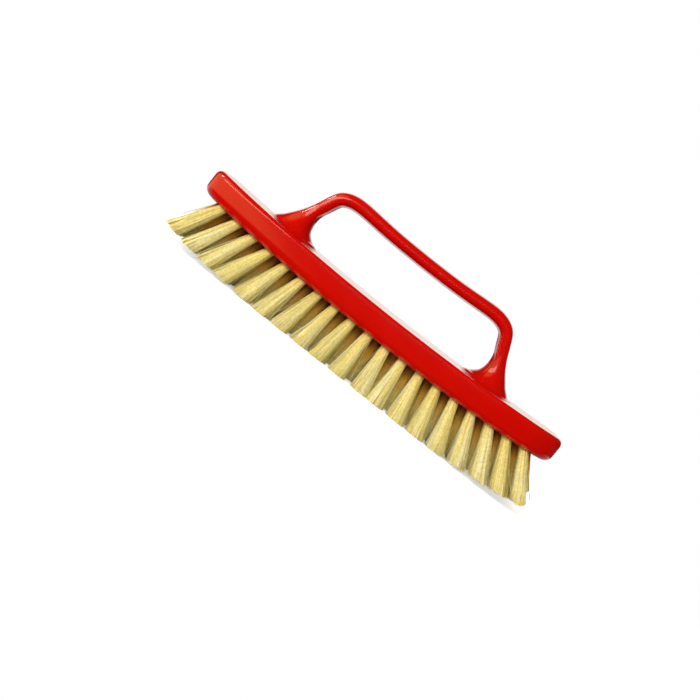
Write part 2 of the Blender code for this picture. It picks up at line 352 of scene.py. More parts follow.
def handle_rings():
    """Rings of points from the right foot over the grip to the left foot."""
    right = half_of_handle()
    left = [section * np.array((-1, 1, 1, 1, 1)) for section in reversed(right[1:])]
    sections = left + right
    rings = []
    for number, (x, height, section_depth, section_width, foot) in enumerate(sections):
        before = sections[max(number - 1, 0)]
        after = sections[min(number + 1, len(sections) - 1)]
        along = Vector((after[0] - before[0], 0, after[1] - before[1])).normalized()
        outward = Vector((-along.z, 0, along.x))
        ring = []
        for index in range(SECTION_SIDES):
            out, side = outline_share(index, foot)
            point = Vector((x, 0, height)) + outward * (out * section_depth / 2)
            point.y = side * section_width / 2
            point.z += min(max(foot, 0), 1) * (face_height(point.x) - face_height(x))
            ring.append(point)
        rings.append(ring)
    return rings[::-1]


rings = handle_rings()
print(len(rings), "rings, of", SECTION_SIDES, "points each")

# %% [markdown]
# ### From foot to foot
# The square taken out under a foot has as many edges as a section has sides. Its points are
# numbered by their turn round the foot, so each knows its place in a ring. Then every extrusion
# adds a ring, and its points are put in their places.

# %% Open the block under the feet
FOOT_REACH = 0.0166


def under_foot(face):
    """Whether a cell of the block's top lies under a foot."""
    spot = middle_of(face)
    on_top = spot.z > face_height(spot.x) + BLOCK_THICKNESS / 2
    return on_top and abs(abs(spot.x) - LEG_OFFSET) < FOOT_REACH and abs(spot.y) < FOOT_REACH


print("cells taken out:", pick(moulding, "faces", under_foot))
bpy.ops.mesh.delete(type="FACE")

# %% Extrude the handle ring by ring
opened = pick(moulding, "edges", lambda edge: edge.is_boundary and edge.verts[0].co.x > 0)
shape = bmesh.from_edit_mesh(moulding.data)
places = shape.verts.layers.int.new("place_in_ring")
centre = sum((c.co for c in shape.verts if c.select), Vector()) / opened
by_turn = sorted(
    (c for c in shape.verts if c.select),
    key=lambda c: math.atan2(c.co.y - centre.y, c.co.x - centre.x) % (2 * math.pi),
)
start = min(range(opened), key=lambda i: abs(by_turn[i].co.y) - by_turn[i].co.x)
for index, corner in enumerate(by_turn[start:] + by_turn[:start]):
    corner[places] = index
bmesh.update_edit_mesh(moulding.data)

for ring in rings:
    bpy.ops.mesh.extrude_region_move(TRANSFORM_OT_translate={"value": (0, 0, 0)})
    shape = bmesh.from_edit_mesh(moulding.data)
    places = shape.verts.layers.int["place_in_ring"]
    for corner in shape.verts:
        if corner.select:
            corner.co = ring[corner[places]]
    bmesh.update_edit_mesh(moulding.data)

pick(moulding, "edges", lambda edge: edge.is_boundary)
bpy.ops.mesh.bridge_edge_loops()
bpy.ops.mesh.select_all(action="SELECT")
bpy.ops.mesh.normals_make_consistent(inside=False)
print("edges round the opening:", opened)
print("open edges left:", pick(moulding, "edges", lambda edge: not edge.is_manifold))

# %% [markdown]
# ### The ridge and the finish
# Where the mould's halves met, the handle keeps a fine ridge. A crease on those edges keeps it
# through the subdivision, which smooths all the rest.

# %% Crease the ridge and smooth the moulding
RIDGE_FROM = 0.004
RIDGE_CREASE = 0.45


def on_ridge(edge):
    """Whether an edge runs along the middle plane, above the handle's feet."""
    ends = [corner.co for corner in edge.verts]
    in_plane = all(abs(end.y) < TOUCHING for end in ends)
    lowest = min(end.z - face_height(end.x) for end in ends)
    return in_plane and lowest > BLOCK_THICKNESS + RIDGE_FROM


print("ridge edges:", pick(moulding, "edges", on_ridge))
bpy.ops.transform.edge_crease(value=RIDGE_CREASE)
apply_modifier(moulding, "SUBSURF", levels=1, render_levels=1)
report(moulding)

# %% [markdown]
# ## The holes for the tufts
# Each tuft sits in a blind hole that is drilled at the angle the tuft leans at. So the drills are
# placed first, by the same formula that later places the tufts, and one Boolean cuts them all. The
# cut leaves a few points almost on top of each other, and those are merged.

# %% Where the tufts are
BOTTOM_LEDGE = 0.0003
ROW_MARGIN = 0.0033
END_INSET = 0.014
END_BOW = 0.0035
ROW_COUNT = 19
END_LEAN = math.radians(30)
SIDE_LEAN = math.radians(21)
COLUMNS = (-1.0, -0.5, 0.0, 0.5, 1.0)
INNER_COLUMNS = (-0.5, 0.5)
STAGGER_SHARE = 0.5
HALF_SPAN = HALF_LENGTH - END_INSET
ROW_INSET = BOTTOM_EDGE_RADIUS + BOTTOM_LEDGE + ROW_MARGIN


def tuft_place(step, column):
    """Where a tuft's axis meets the underside, and the way that the tuft leans."""
    along = (2 * step / (ROW_COUNT - 1) - 1) * HALF_SPAN
    x = along * (1 + END_BOW / HALF_SPAN * (1 - column**2))
    y = column * (HALF_WIDTH * oval_share(along / HALF_LENGTH) - ROW_INSET)
    lean = END_LEAN * along / HALF_SPAN
    axis = Vector((math.tan(lean), math.tan(SIDE_LEAN * column), -1))
    return Vector((x, y, face_height(x))), axis.normalized()


def tufts_of_row(row):
    """A row holds the outer and centre tufts, and the inner ones half a pitch further on.

    Each tuft is its place, its axis and whether it is inside the brush.
    """
    tufts = []
    for column in COLUMNS:
        step = row + (STAGGER_SHARE if column in INNER_COLUMNS else 0)
        if step <= ROW_COUNT - 1:
            tufts.append((*tuft_place(step, column), abs(column) < 1))
    return tufts


tufts = [tuft for row in range(ROW_COUNT) for tuft in tufts_of_row(row)]
print(len(tufts), "tufts")

# %% Model one drill, copy it to every hole, cut and clean up
HOLE_SIDES = 16
HOLE_RADIUS = 0.0024
HOLE_DEPTH = 0.009
DRILL_OVERRUN = 0.002
MOUTH_FLARE = 0.0004
CUT_CRUMB = 0.000005
SHARP_ANGLE = math.radians(35)

clear_selection()
bpy.ops.mesh.primitive_cylinder_add(
    vertices=HOLE_SIDES,
    radius=HOLE_RADIUS,
    depth=HOLE_DEPTH + DRILL_OVERRUN,
    location=(0, 0, (DRILL_OVERRUN - HOLE_DEPTH) / 2),
)
drill = bpy.context.object
bpy.ops.object.transform_apply(location=True)
edit(drill)
bpy.ops.mesh.select_all(action="SELECT")
bpy.ops.mesh.bisect(plane_co=(0, 0, -MOUTH_FLARE), plane_no=(0, 0, 1))
pick(drill, "verts", lambda corner: corner.co.z > 0)
flare = (HOLE_RADIUS + MOUTH_FLARE + DRILL_OVERRUN) / HOLE_RADIUS
bpy.ops.transform.resize(value=(flare, flare, 1))
clear_selection()

drills = []
for place, axis, _ in tufts:
    copy = drill.copy()
    copy.data = drill.data.copy()
    lean = axis.to_track_quat("Z", "Y").to_matrix().to_4x4()
    copy.data.transform(Matrix.Translation(place) @ lean)
    bpy.context.scene.collection.objects.link(copy)
    drills.append(copy)
bpy.data.objects.remove(drill)
for copy in drills:
    copy.select_set(True)
bpy.context.view_layer.objects.active = drills[0]
bpy.ops.object.join()
drills = bpy.context.object

apply_modifier(moulding, "BOOLEAN", operation="DIFFERENCE", solver="EXACT", object=drills)
bpy.data.objects.remove(drills)
edit(moulding)
bpy.ops.mesh.select_all(action="SELECT")
bpy.ops.mesh.remove_doubles(threshold=CUT_CRUMB)
choose(moulding)
bpy.ops.object.shade_smooth_by_angle(angle=SHARP_ANGLE)
report(moulding)

# %% [markdown]
# ## One fibre
# A fibre of the tuft is a thin straight stalk that bends as it leaves the hole. It could be a hair
# curve, but hair isn't a solid that can be exported. So one stalk with three sides is modelled, cut
# across into lengths that can bend, and copied for every fibre. A thicker post is cut the same way.
# It becomes the closed core in each tuft's middle, where single fibres can't be told apart.

# %% Model the stalk and the core that all the others are copied from
STALK_SIDES = 3
STALK_CUTS = (0.14, 0.36, 0.68)
CORE_SIDES = 14
CORE_CUTS = (0.14, 0.4, 0.7, 0.92)


def cut_post(sides, cuts):
    """Points and faces of an upright post of radius 1 and length 1, cut across at these heights."""
    clear_selection()
    bpy.ops.mesh.primitive_cylinder_add(
        vertices=sides, radius=1, depth=1, location=(0, 0, 0.5), end_fill_type="NGON"
    )
    post = bpy.context.object
    bpy.ops.object.transform_apply(location=True)
    edit(post)
    for share in cuts:
        bpy.ops.mesh.select_all(action="SELECT")
        bpy.ops.mesh.bisect(plane_co=(0, 0, share), plane_no=(0, 0, 1))
    clear_selection()
    points = np.array([corner.co for corner in post.data.vertices])
    faces = [tuple(face.vertices) for face in post.data.polygons]
    bpy.data.objects.remove(post)
    return points, faces


stalk_points, stalk_faces = cut_post(STALK_SIDES, STALK_CUTS)
core_points, core_faces = cut_post(CORE_SIDES, CORE_CUTS)
print("one fibre has", len(stalk_points), "points and", len(stalk_faces), "faces")

# %% [markdown]
# ## The tufts
# A tuft is a bundle of fibres folded into a hole. It is round and tight at the hole, and fans out
# towards the tips, which are trimmed along one gentle curve after the brush is filled. Some fibres
# clump, a few are short, and a few stray across to the next tuft, so each fibre gets a small bend
# and a spread of its own from a seeded generator.
#
# Every fibre keeps a tone and, at each point, its share of the length, for the material to read.
# Its normals lean out from the tuft's middle, so that the whole tuft takes light as one round
# bundle.

# %% How the tips are trimmed and how a tuft fans out
CROWN_RISE = 0.0053
CROWN_POWER = 2.5
END_ROUNDING = 35
END_ROUNDING_FROM = 0.099
TIP_TRIM = 0.0005
TIP_ROUGHNESS = 0.00025
SHORT_SHARE = 0.05
SHORT_BY = 0.0022
FLOOR_GAP = 0.00002

FIBRES_PER_TUFT = 380
FIBRE_RADIUS = (0.00012, 0.00018)
ROOT_HIDDEN = 0.003
ROOT_SPREAD = 0.0022
TIP_SPREAD = 0.0049
LATE_FAN = 0.35
GOLDEN_TURN = math.pi * (3 - math.sqrt(5))
DISC_JITTER = 0.05
FAN_JITTER = 0.09
CLUMPS = 7
CLUMP_PULL = 0.2
STRAY_SHARE = 0.015
STRAY_REACH = 0.005
BEND = 0.0002
BUNDLE_SHARE = 0.72
# The arc share * (1 - share) is a quarter high, so this makes its height 1.
ARC_HEIGHT = 4

CORE_SHARE = 0.8
CORE_REACH = 0.94
CORE_END = 0.75
CORE_FLOOR_GAP = 0.0006


def crown_height(x):
    """Height that the tips are trimmed at, along the brush."""
    crown = CROWN_RISE * (np.abs(x) / HALF_LENGTH) ** CROWN_POWER
    return crown + END_ROUNDING * np.maximum(np.abs(x) - END_ROUNDING_FROM, 0) ** 2 - TIP_TRIM


def unit_disc(count, chance):
    """Points spread evenly over a disc of radius 1, and then jittered."""
    rank = np.arange(count) + 0.5
    turn = rank * GOLDEN_TURN + chance.uniform(0, 2 * math.pi)
    out = np.sqrt(rank / count)
    points = np.stack((out * np.cos(turn), out * np.sin(turn)), axis=1)
    return points + chance.normal(0, DISC_JITTER, points.shape)


def square_to(axis):
    """Two directions that are square to a tuft's axis and to each other."""
    across = np.cross(axis, (0, 1, 0))
    across /= np.linalg.norm(across)
    return across, np.cross(axis, across)


# %% [markdown]
# ### From the hole to the tip
# The maker works on all fibres of a tuft at once. It places their roots and their tips, draws a
# bent line between the two, and wraps a stalk round each line.

# %% Make a tuft's fibres


def make_fibres(place, axis, chance):
    """A tuft's fibres: the points, and each point's tone, share of the length and normal."""
    count = FIBRES_PER_TUFT
    place, axis = np.array(place), np.array(axis)
    across, beside = square_to(axis)
    sides = np.stack((across, beside))

    # Roots in the hole and goals on the floor, clumped, and a few astray.
    disc = unit_disc(count, chance)
    root = place + (ROOT_SPREAD * disc) @ sides
    clump = unit_disc(CLUMPS, chance)
    nearest = np.argmin(((disc[:, None] - clump[None]) ** 2).sum(2), axis=1)
    pull = CLUMP_PULL * (clump[nearest] - disc)
    fanned = disc + pull + chance.normal(0, FAN_JITTER, disc.shape)
    stray = chance.random(count) < STRAY_SHARE
    fanned[stray, 0] += chance.uniform(-1, 1, stray.sum()) * STRAY_REACH / TIP_SPREAD
    goal = place + axis * (place[2] / -axis[2]) + (TIP_SPREAD * fanned) @ sides

    # Tips, where the lines to the goals are trimmed.
    trim = crown_height(goal[:, 0]) + chance.normal(0, TIP_ROUGHNESS, count)
    short = chance.random(count) < SHORT_SHARE
    trim[short] += chance.uniform(0, SHORT_BY, short.sum())
    trim = np.maximum(trim, FLOOR_GAP)
    share = (root[:, 2] - trim) / (root[:, 2] - goal[:, 2])
    tip = root + (goal - root) * share[:, None]

    # Bent lines, from inside the hole to the tip.
    hidden = root - axis * ROOT_HIDDEN
    bend = chance.normal(0, BEND, (count, 2)) @ sides
    fan = ((tip - root) - np.outer((tip - root) @ axis, axis)) * LATE_FAN
    length = stalk_points[:, 2]
    outside = np.clip((length - STALK_CUTS[0]) / (1 - STALK_CUTS[0]), 0, 1)[None, :, None]
    inside = np.clip(1 - length / STALK_CUTS[0], 0, 1)[None, :, None]
    line = root[:, None] + (tip - root)[:, None] * outside + (hidden - root)[:, None] * inside
    line = line + (bend[:, None] * ARC_HEIGHT - fan[:, None]) * outside * (1 - outside)

    # A stalk round each line, turned at random.
    radius = chance.uniform(*FIBRE_RADIUS, count)
    spin = chance.uniform(0, 2 * math.pi, count)[:, None]
    flat_x, flat_y = stalk_points[None, :, 0], stalk_points[None, :, 1]
    ring_x = flat_x * np.cos(spin) - flat_y * np.sin(spin)
    ring_y = flat_x * np.sin(spin) + flat_y * np.cos(spin)
    ring = ring_x[..., None] * across + ring_y[..., None] * beside
    points = line + ring * radius[:, None, None]
    points[..., 2] = np.maximum(points[..., 2], FLOOR_GAP)
    outward = (fanned @ sides)[:, None] * BUNDLE_SHARE + ring * (1 - BUNDLE_SHARE)
    outward /= np.linalg.norm(outward, axis=2, keepdims=True)
    tone = np.repeat(chance.random(count), len(length))
    return points.reshape(-1, 3), tone, np.tile(outside.ravel(), count), outward.reshape(-1, 3)


print("fibres in the brush:", FIBRES_PER_TUFT * len(tufts))

# %% [markdown]
# ### The core
# The core follows the same fan as the fibres, a little narrower, and stops short of the tips, so
# that only loose fibres are seen there. Each of its sides has a tone of its own, as if it were a
# fibre.

# %% Make a tuft's core


def make_core(place, axis, chance):
    """A tuft's dense middle: the points, and each point's tone, share of the length and normal."""
    place, axis = np.array(place), np.array(axis)
    across, beside = square_to(axis)
    reach = (place[2] - crown_height(place[0] + axis[0] / -axis[2] * place[2])) / -axis[2]
    length = core_points[:, 2]
    outside = np.clip((length - CORE_CUTS[0]) / (1 - CORE_CUTS[0]), 0, 1) * CORE_REACH
    inside = np.clip(1 - length / CORE_CUTS[0], 0, 1)
    spread = ROOT_SPREAD + (TIP_SPREAD - ROOT_SPREAD) * outside * (1 - LATE_FAN * (1 - outside))
    spread = spread * CORE_SHARE * np.where(np.isclose(length, 1), CORE_END, 1)
    points = place + np.outer(reach * outside - ROOT_HIDDEN * inside, axis)
    outward = core_points[:, :1] * across + core_points[:, 1:2] * beside
    points = points + outward * spread[:, None]
    points[:, 2] = np.maximum(points[:, 2], CORE_FLOOR_GAP)
    turn = np.arctan2(core_points[:, 1], core_points[:, 0]) / (2 * math.pi)
    side = np.round(turn * CORE_SIDES).astype(int) % CORE_SIDES
    return points, chance.random(CORE_SIDES)[side], outside, outward


print("points in a core:", len(core_points))

# %% [markdown]
# ### The rows
# A row of tufts is one piece, as in the CAD model, and has a seed of its own. The tufts lean a
# little unevenly along the brush. Each point's share of the length becomes a painted shade, browner
# towards the root, where the tufts shade each other. In the inner tufts, which lie deeper in shade,
# it starts at 0, which the material paints darkest brown. In the outer ones it starts higher.

# %% Make the rows of tufts
FIRST_SEED = 1200
UNEVEN_LEAN = 0.035
INNER_SHADE_TO = 0.65
OUTER_SHADE_FROM = 0.48
MAKERS = (
    (make_fibres, stalk_points, stalk_faces),
    (make_core, core_points, core_faces),
)

bristle_rows = []
for row in range(ROW_COUNT):
    chance = np.random.default_rng(FIRST_SEED + row)
    made, faces, count = [], [], 0
    for place, axis, inside in tufts_of_row(row):
        axis = (axis + Vector((chance.normal(0, UNEVEN_LEAN), 0, 0))).normalized()
        for maker, post_points, post_faces in MAKERS:
            points, tone, share, outward = maker(place, axis, chance)
            # Painted shade: inner tufts run from 0, outer tufts from a higher share, so roots and
            # inner tufts come out browner.
            if inside:
                shade = share * INNER_SHADE_TO
            else:
                shade = OUTER_SHADE_FROM + share * (1 - OUTER_SHADE_FROM)
            made.append((points, tone, shade, outward))
            for first in range(count, count + len(points), len(post_points)):
                faces += [tuple(corner + first for corner in face) for face in post_faces]
            count += len(points)
    points, tones, shades, normals = (np.concatenate(parts) for parts in zip(*made))
    mesh = bpy.data.meshes.new(f"bristles_row_{row + 1:02d}")
    mesh.from_pydata(points.tolist(), [], faces)
    for name, values in (("fibre_tone", tones), ("fibre_shade", shades)):
        attribute = mesh.attributes.new(name, "FLOAT", "POINT")
        attribute.data.foreach_set("value", values.astype(np.float32))
    mesh.shade_smooth()
    mesh.normals_split_custom_set_from_vertices(normals)
    bristles = bpy.data.objects.new(mesh.name, mesh)
    bpy.context.scene.collection.objects.link(bristles)
    bristle_rows.append(bristles)
report(bristle_rows[ROW_COUNT // 2])

# %% [markdown]
# ## Materials
# A material is a small graph of nodes. Its patterns read Object coordinates, which are metres on
# the brush itself, so they stay where they are from every side. An effect that two materials share
# is a group of nodes, made once.

# %% Helpers for building materials


def new_material(name):
    """A material, its tree of nodes and its shader."""
    material = bpy.data.materials.new(name)
    material.use_nodes = True
    return material, material.node_tree, material.node_tree.nodes["Principled BSDF"]


def add(tree, kind, **settings):
    """Adds a node and sets its options, and its inputs by name or number."""
    node = tree.nodes.new(kind)
    inputs = settings.pop("inputs", {})
    for name, value in settings.items():
        setattr(node, name, value)
    for name, value in inputs.items():
        node.inputs[name].default_value = value
    return node


def noise(tree, **inputs):
    """A cloudy pattern."""
    return add(tree, "ShaderNodeTexNoise", inputs=inputs)


def remap(tree, start, end, low=0, high=1, **settings):
    """Turns the range from start to end into the range from low to high."""
    inputs = {"From Min": start, "From Max": end, "To Min": low, "To Max": high}
    return add(tree, "ShaderNodeMapRange", inputs=inputs, **settings)


def mix(tree, blend="MIX", **inputs):
    """Blends the colours A and B."""
    return add(tree, "ShaderNodeMix", data_type="RGBA", blend_type=blend, inputs=inputs)


def toward(tree, aim):
    """Tells how nearly a direction points at the aim."""
    return add(tree, "ShaderNodeVectorMath", operation="DOT_PRODUCT", inputs={1: aim})


def ramp(tree, *stops):
    """A colour ramp through (place, colour) stops."""
    node = tree.nodes.new("ShaderNodeValToRGB")
    elements = node.color_ramp.elements
    while len(elements) < len(stops):
        elements.new(0.5)
    for element, (place, colour) in zip(elements, stops):
        element.position = place
        element.color = (*colour, 1)
    return node


def mask_group(name, *scales):
    """A group that will turn a Vector, and perhaps some scales, into one Mask."""
    group = bpy.data.node_groups.new(name, "ShaderNodeTree")
    group.interface.new_socket("Vector", in_out="INPUT", socket_type="NodeSocketVector")
    for scale in scales:
        group.interface.new_socket(scale, in_out="INPUT", socket_type="NodeSocketFloat")
    group.interface.new_socket("Mask", in_out="OUTPUT", socket_type="NodeSocketFloat")
    return group, group.nodes.new("NodeGroupInput"), group.nodes.new("NodeGroupOutput")


def connect(tree, *wires):
    """Joins nodes. A wire is a node and its output, then the next node and its input."""
    for source, source_output, target, target_input in wires:
        tree.links.new(source.outputs[source_output], target.inputs[target_input])


# %% [markdown]
# ### Handling marks
# Both the plastic and the steel wire carry faint rubbed patches and hair-fine scratches. The group
# gives one mask of them, from a cloudy noise and a stretched one.

# %% The group of handling marks
marks, entry, exit_node = mask_group("handling_marks", "Patch Scale", "Scratch Scale")
patches = noise(marks, Detail=4, Roughness=0.6)
stretch = add(
    marks, "ShaderNodeMapping", inputs={"Rotation": (0.3, 0.5, 0.9), "Scale": (1, 14, 14)}
)
scratches = noise(marks, Detail=2, Roughness=0.5)
thin = remap(marks, 0.66, 0.74)
total = add(marks, "ShaderNodeMath", operation="ADD", use_clamp=True)
connect(
    marks,
    (entry, "Vector", patches, "Vector"),
    (entry, "Patch Scale", patches, "Scale"),
    (entry, "Vector", stretch, "Vector"),
    (stretch, "Vector", scratches, "Vector"),
    (entry, "Scratch Scale", scratches, "Scale"),
    (scratches, "Fac", thin, "Value"),
    (patches, "Fac", total, 0),
    (thin, "Result", total, 1),
    (total, "Value", exit_node, "Mask"),
)
print("group sockets:", [item.name for item in marks.interface.items_tree])

# %% [markdown]
# ### The red plastic
# The moulding is glossy red plastic. Moulded plastic is never as flat as glass: it sinks a little
# over thick places, so its reflections waver. A slow noise in the bump does that, and a thin step
# at the middle plane, where y is zero, is the witness line of the mould's two halves.

# %% Red gloss plastic
red, tree, shader = new_material("red_gloss_plastic")
where = add(tree, "ShaderNodeTexCoord")
mottle = noise(tree, Scale=45, Detail=3)
tint = ramp(tree, (0.3, (0.525, 0.0022, 0.0002)), (0.7, (0.562, 0.0030, 0.0004)))
rubbed = add(
    tree, "ShaderNodeGroup", node_tree=marks, inputs={"Patch Scale": 70, "Scratch Scale": 160}
)
gloss = remap(tree, 0.3, 1, 0.075, 0.11)
sink = noise(tree, Scale=60, Detail=1)
place_apart = add(tree, "ShaderNodeSeparateXYZ")
from_middle = add(tree, "ShaderNodeMath", operation="ABSOLUTE")
witness = remap(tree, 0.00008, 0.00022, 1, 0)
wave = add(tree, "ShaderNodeBump", inputs={"Strength": 0.05, "Distance": 0.002})
line = add(tree, "ShaderNodeBump", inputs={"Strength": 0.6, "Distance": 0.00008})
connect(
    tree,
    (where, "Object", mottle, "Vector"),
    (mottle, "Fac", tint, "Fac"),
    (tint, "Color", shader, "Base Color"),
    (where, "Object", rubbed, "Vector"),
    (rubbed, "Mask", gloss, "Value"),
    (gloss, "Result", shader, "Roughness"),
    (where, "Object", sink, "Vector"),
    (sink, "Fac", wave, "Height"),
    (wave, "Normal", line, "Normal"),
    (where, "Object", place_apart, "Vector"),
    (place_apart, "Y", from_middle, 0),
    (from_middle, "Value", witness, "Value"),
    (witness, "Result", line, "Height"),
    (line, "Normal", shader, "Normal"),
)
moulding.data.materials.clear()
moulding.data.materials.append(red)
print("red plastic nodes:", len(tree.nodes))

# %% [markdown]
# ### The straw-coloured fibre
# The fibre is a dry, stiff, slightly waxy plant fibre. No two have the same tone. Painted shade
# makes each fibre browner towards its root, and the inner tufts browner still, where shade falls
# between the tufts. So the colour is the product of two ramps: one reads the fibre's tone, the
# other the painted shade. Fine flecks break it up.

# %% Straw fibre
straw, tree, shader = new_material("straw_fibre")
shader.inputs["Specular IOR Level"].default_value = 0.08
tone = add(tree, "ShaderNodeAttribute", attribute_name="fibre_tone")
shade = add(tree, "ShaderNodeAttribute", attribute_name="fibre_shade")
where = add(tree, "ShaderNodeTexCoord")
fleck = noise(tree, Scale=900, Detail=2)
pale = ramp(
    tree,
    (0.0, (0.77, 0.57, 0.14)),
    (0.3, (0.93, 0.79, 0.25)),
    (0.7, (0.97, 0.89, 0.43)),
    (1.0, (0.98, 0.94, 0.61)),
)
# Painted shade: this ramp browns the fibres towards their roots and in the inner tufts, where shade
# falls.
painted_root_shade = ramp(
    tree,
    (0.0, (0.30, 0.09, 0.015)),
    (0.2, (0.85, 0.50, 0.15)),
    (0.42, (0.98, 0.84, 0.54)),
    (0.65, (1.0, 0.98, 0.92)),
    (0.8, (1.0, 1.0, 1.0)),
)
shaded = mix(tree, "MULTIPLY", Factor=1)
flecked = remap(tree, 0.3, 0.7, 0.82, 1.06)
finish = mix(tree, "MULTIPLY", Factor=1)
dry = remap(tree, 0, 1, 0.42, 0.62)
connect(
    tree,
    (tone, "Fac", pale, "Fac"),
    (shade, "Fac", painted_root_shade, "Fac"),
    (pale, "Color", shaded, "A"),
    (painted_root_shade, "Color", shaded, "B"),
    (where, "Object", fleck, "Vector"),
    (fleck, "Fac", flecked, "Value"),
    (shaded, "Result", finish, "A"),
    (flecked, "Result", finish, "B"),
    (finish, "Result", shader, "Base Color"),
    (tone, "Fac", dry, "Value"),
    (dry, "Result", shader, "Roughness"),
)
for bristles in bristle_rows:
    bristles.data.materials.append(straw)
print("straw fibre nodes:", len(tree.nodes))

# %% [markdown]
# ### The anchor wire
# The flat wires that hold the tufts in the block are drawn steel, with fine lines along their
# length. Nobody sees them in the finished brush, but they show when the block is taken away. Their
# CAD shape is right, so they keep it and only get a better material.

# %% Drawn steel
steel, tree, shader = new_material("drawn_steel")
shader.inputs["Metallic"].default_value = 1
where = add(tree, "ShaderNodeTexCoord")
along_wire = add(tree, "ShaderNodeMapping", inputs={"Scale": (40, 2500, 2500)})
lines = noise(tree, Scale=1, Detail=3)
tint = ramp(tree, (0.3, (0.42, 0.42, 0.41)), (0.7, (0.58, 0.58, 0.56)))
rubbed = add(
    tree, "ShaderNodeGroup", node_tree=marks, inputs={"Patch Scale": 200, "Scratch Scale": 400}
)
gloss = remap(tree, 0.3, 1, 0.28, 0.45)
groove = add(tree, "ShaderNodeBump", inputs={"Strength": 0.2, "Distance": 0.00005})
connect(
    tree,
    (where, "Object", along_wire, "Vector"),
    (along_wire, "Vector", lines, "Vector"),
    (lines, "Fac", tint, "Fac"),
    (tint, "Color", shader, "Base Color"),
    (where, "Object", rubbed, "Vector"),
    (rubbed, "Mask", gloss, "Value"),
    (gloss, "Result", shader, "Roughness"),
    (lines, "Fac", groove, "Height"),
    (groove, "Normal", shader, "Normal"),
)
wires = [node for name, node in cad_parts.items() if name.startswith("anchor_wire_")]
for wire in wires:
    wire.material_slots[0].material = steel
print("wires in steel:", len(wires))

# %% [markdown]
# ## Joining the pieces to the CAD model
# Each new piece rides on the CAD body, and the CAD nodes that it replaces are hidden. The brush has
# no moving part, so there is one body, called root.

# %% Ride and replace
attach(moulding, "root")
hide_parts("handle_block")
for row, bristles in enumerate(bristle_rows):
    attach(bristles, "root")
    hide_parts(f"tuft_row_{row + 1:02d}")
print("pieces:", 1 + len(bristle_rows))

# %% [markdown]
# ## Floor, light and camera
# The photo is a studio shot on pure white. Glossy plastic mirrors the studio, so the studio is part
# of the look. It is white behind the brush, which gives the pale line along the block's top, and
# dim everywhere else, which keeps the red deep. At the left stands a warm card, which the left end
# of the block mirrors. Both the floor and the room need that card, so it is a group.

# %% The group of the warm card at the left
CARD_COLOUR = (1.35, 0.88, 0.37, 1)
TOWARD_CARD = (-0.95, -0.30, 0.0)

card, entry, exit_node = mask_group("warm_card")
unit = add(card, "ShaderNodeVectorMath", operation="NORMALIZE")
toward_card = toward(card, TOWARD_CARD)
spread = remap(card, 0.4, 0.7, interpolation_type="SMOOTHSTEP")
connect(
    card,
    (entry, "Vector", unit, 0),
    (unit, "Vector", toward_card, 0),
    (toward_card, "Value", spread, "Value"),
    (spread, "Result", exit_node, "Mask"),
)
print("group sockets:", [item.name for item in card.interface.items_tree])

# %% [markdown]
# ### The floor
# The floor is a pale sheet under the tips, and it keeps the brush's shadow. Only for the camera is
# it raised to white, so it doesn't light the brush more, and further off it fades into pure white.
# The raised colour is bluish, because the lamps are warm and the sheet has to come out neutral.
# What the gloss mirrors is painted apart: white behind the brush, dark in front of it and far away,
# with the warm card at the left.

# %% The floor for the camera and the light
FLOOR_SIZE = 6
SHEET = (0.5, 0.48, 0.45, 1)
RAISED_SHEET = (2.1, 2.25, 2.6, 1)

clear_selection()
bpy.ops.mesh.primitive_plane_add(size=FLOOR_SIZE, location=(0, 0, 0))
floor = bpy.context.object
floor.name = "studio_floor"
paper, tree, _ = new_material("white_paper")
tree.nodes.clear()
path = add(tree, "ShaderNodeLightPath")
where = add(tree, "ShaderNodeTexCoord")
through = add(tree, "ShaderNodeMath", operation="ADD", use_clamp=True)
lift = mix(tree, A=SHEET, B=RAISED_SHEET)
matt = add(tree, "ShaderNodeBsdfDiffuse")
from_brush = add(tree, "ShaderNodeVectorMath", operation="LENGTH")
far_off = remap(tree, 0.1, 0.3, 0.55, interpolation_type="SMOOTHSTEP")
seen_far = add(tree, "ShaderNodeMath", operation="MULTIPLY")
white = add(tree, "ShaderNodeEmission")
to_camera = add(tree, "ShaderNodeMixShader")
connect(
    tree,
    (path, "Is Camera Ray", through, 0),
    (path, "Is Transmission Ray", through, 1),
    (through, "Value", lift, "Factor"),
    (lift, "Result", matt, "Color"),
    (where, "Object", from_brush, 0),
    (from_brush, "Value", far_off, "Value"),
    (far_off, "Result", seen_far, 0),
    (through, "Value", seen_far, 1),
    (seen_far, "Value", to_camera, "Fac"),
    (matt, "BSDF", to_camera, 1),
    (white, "Emission", to_camera, 2),
)
floor.data.materials.append(paper)
print("floor:", floor.name)

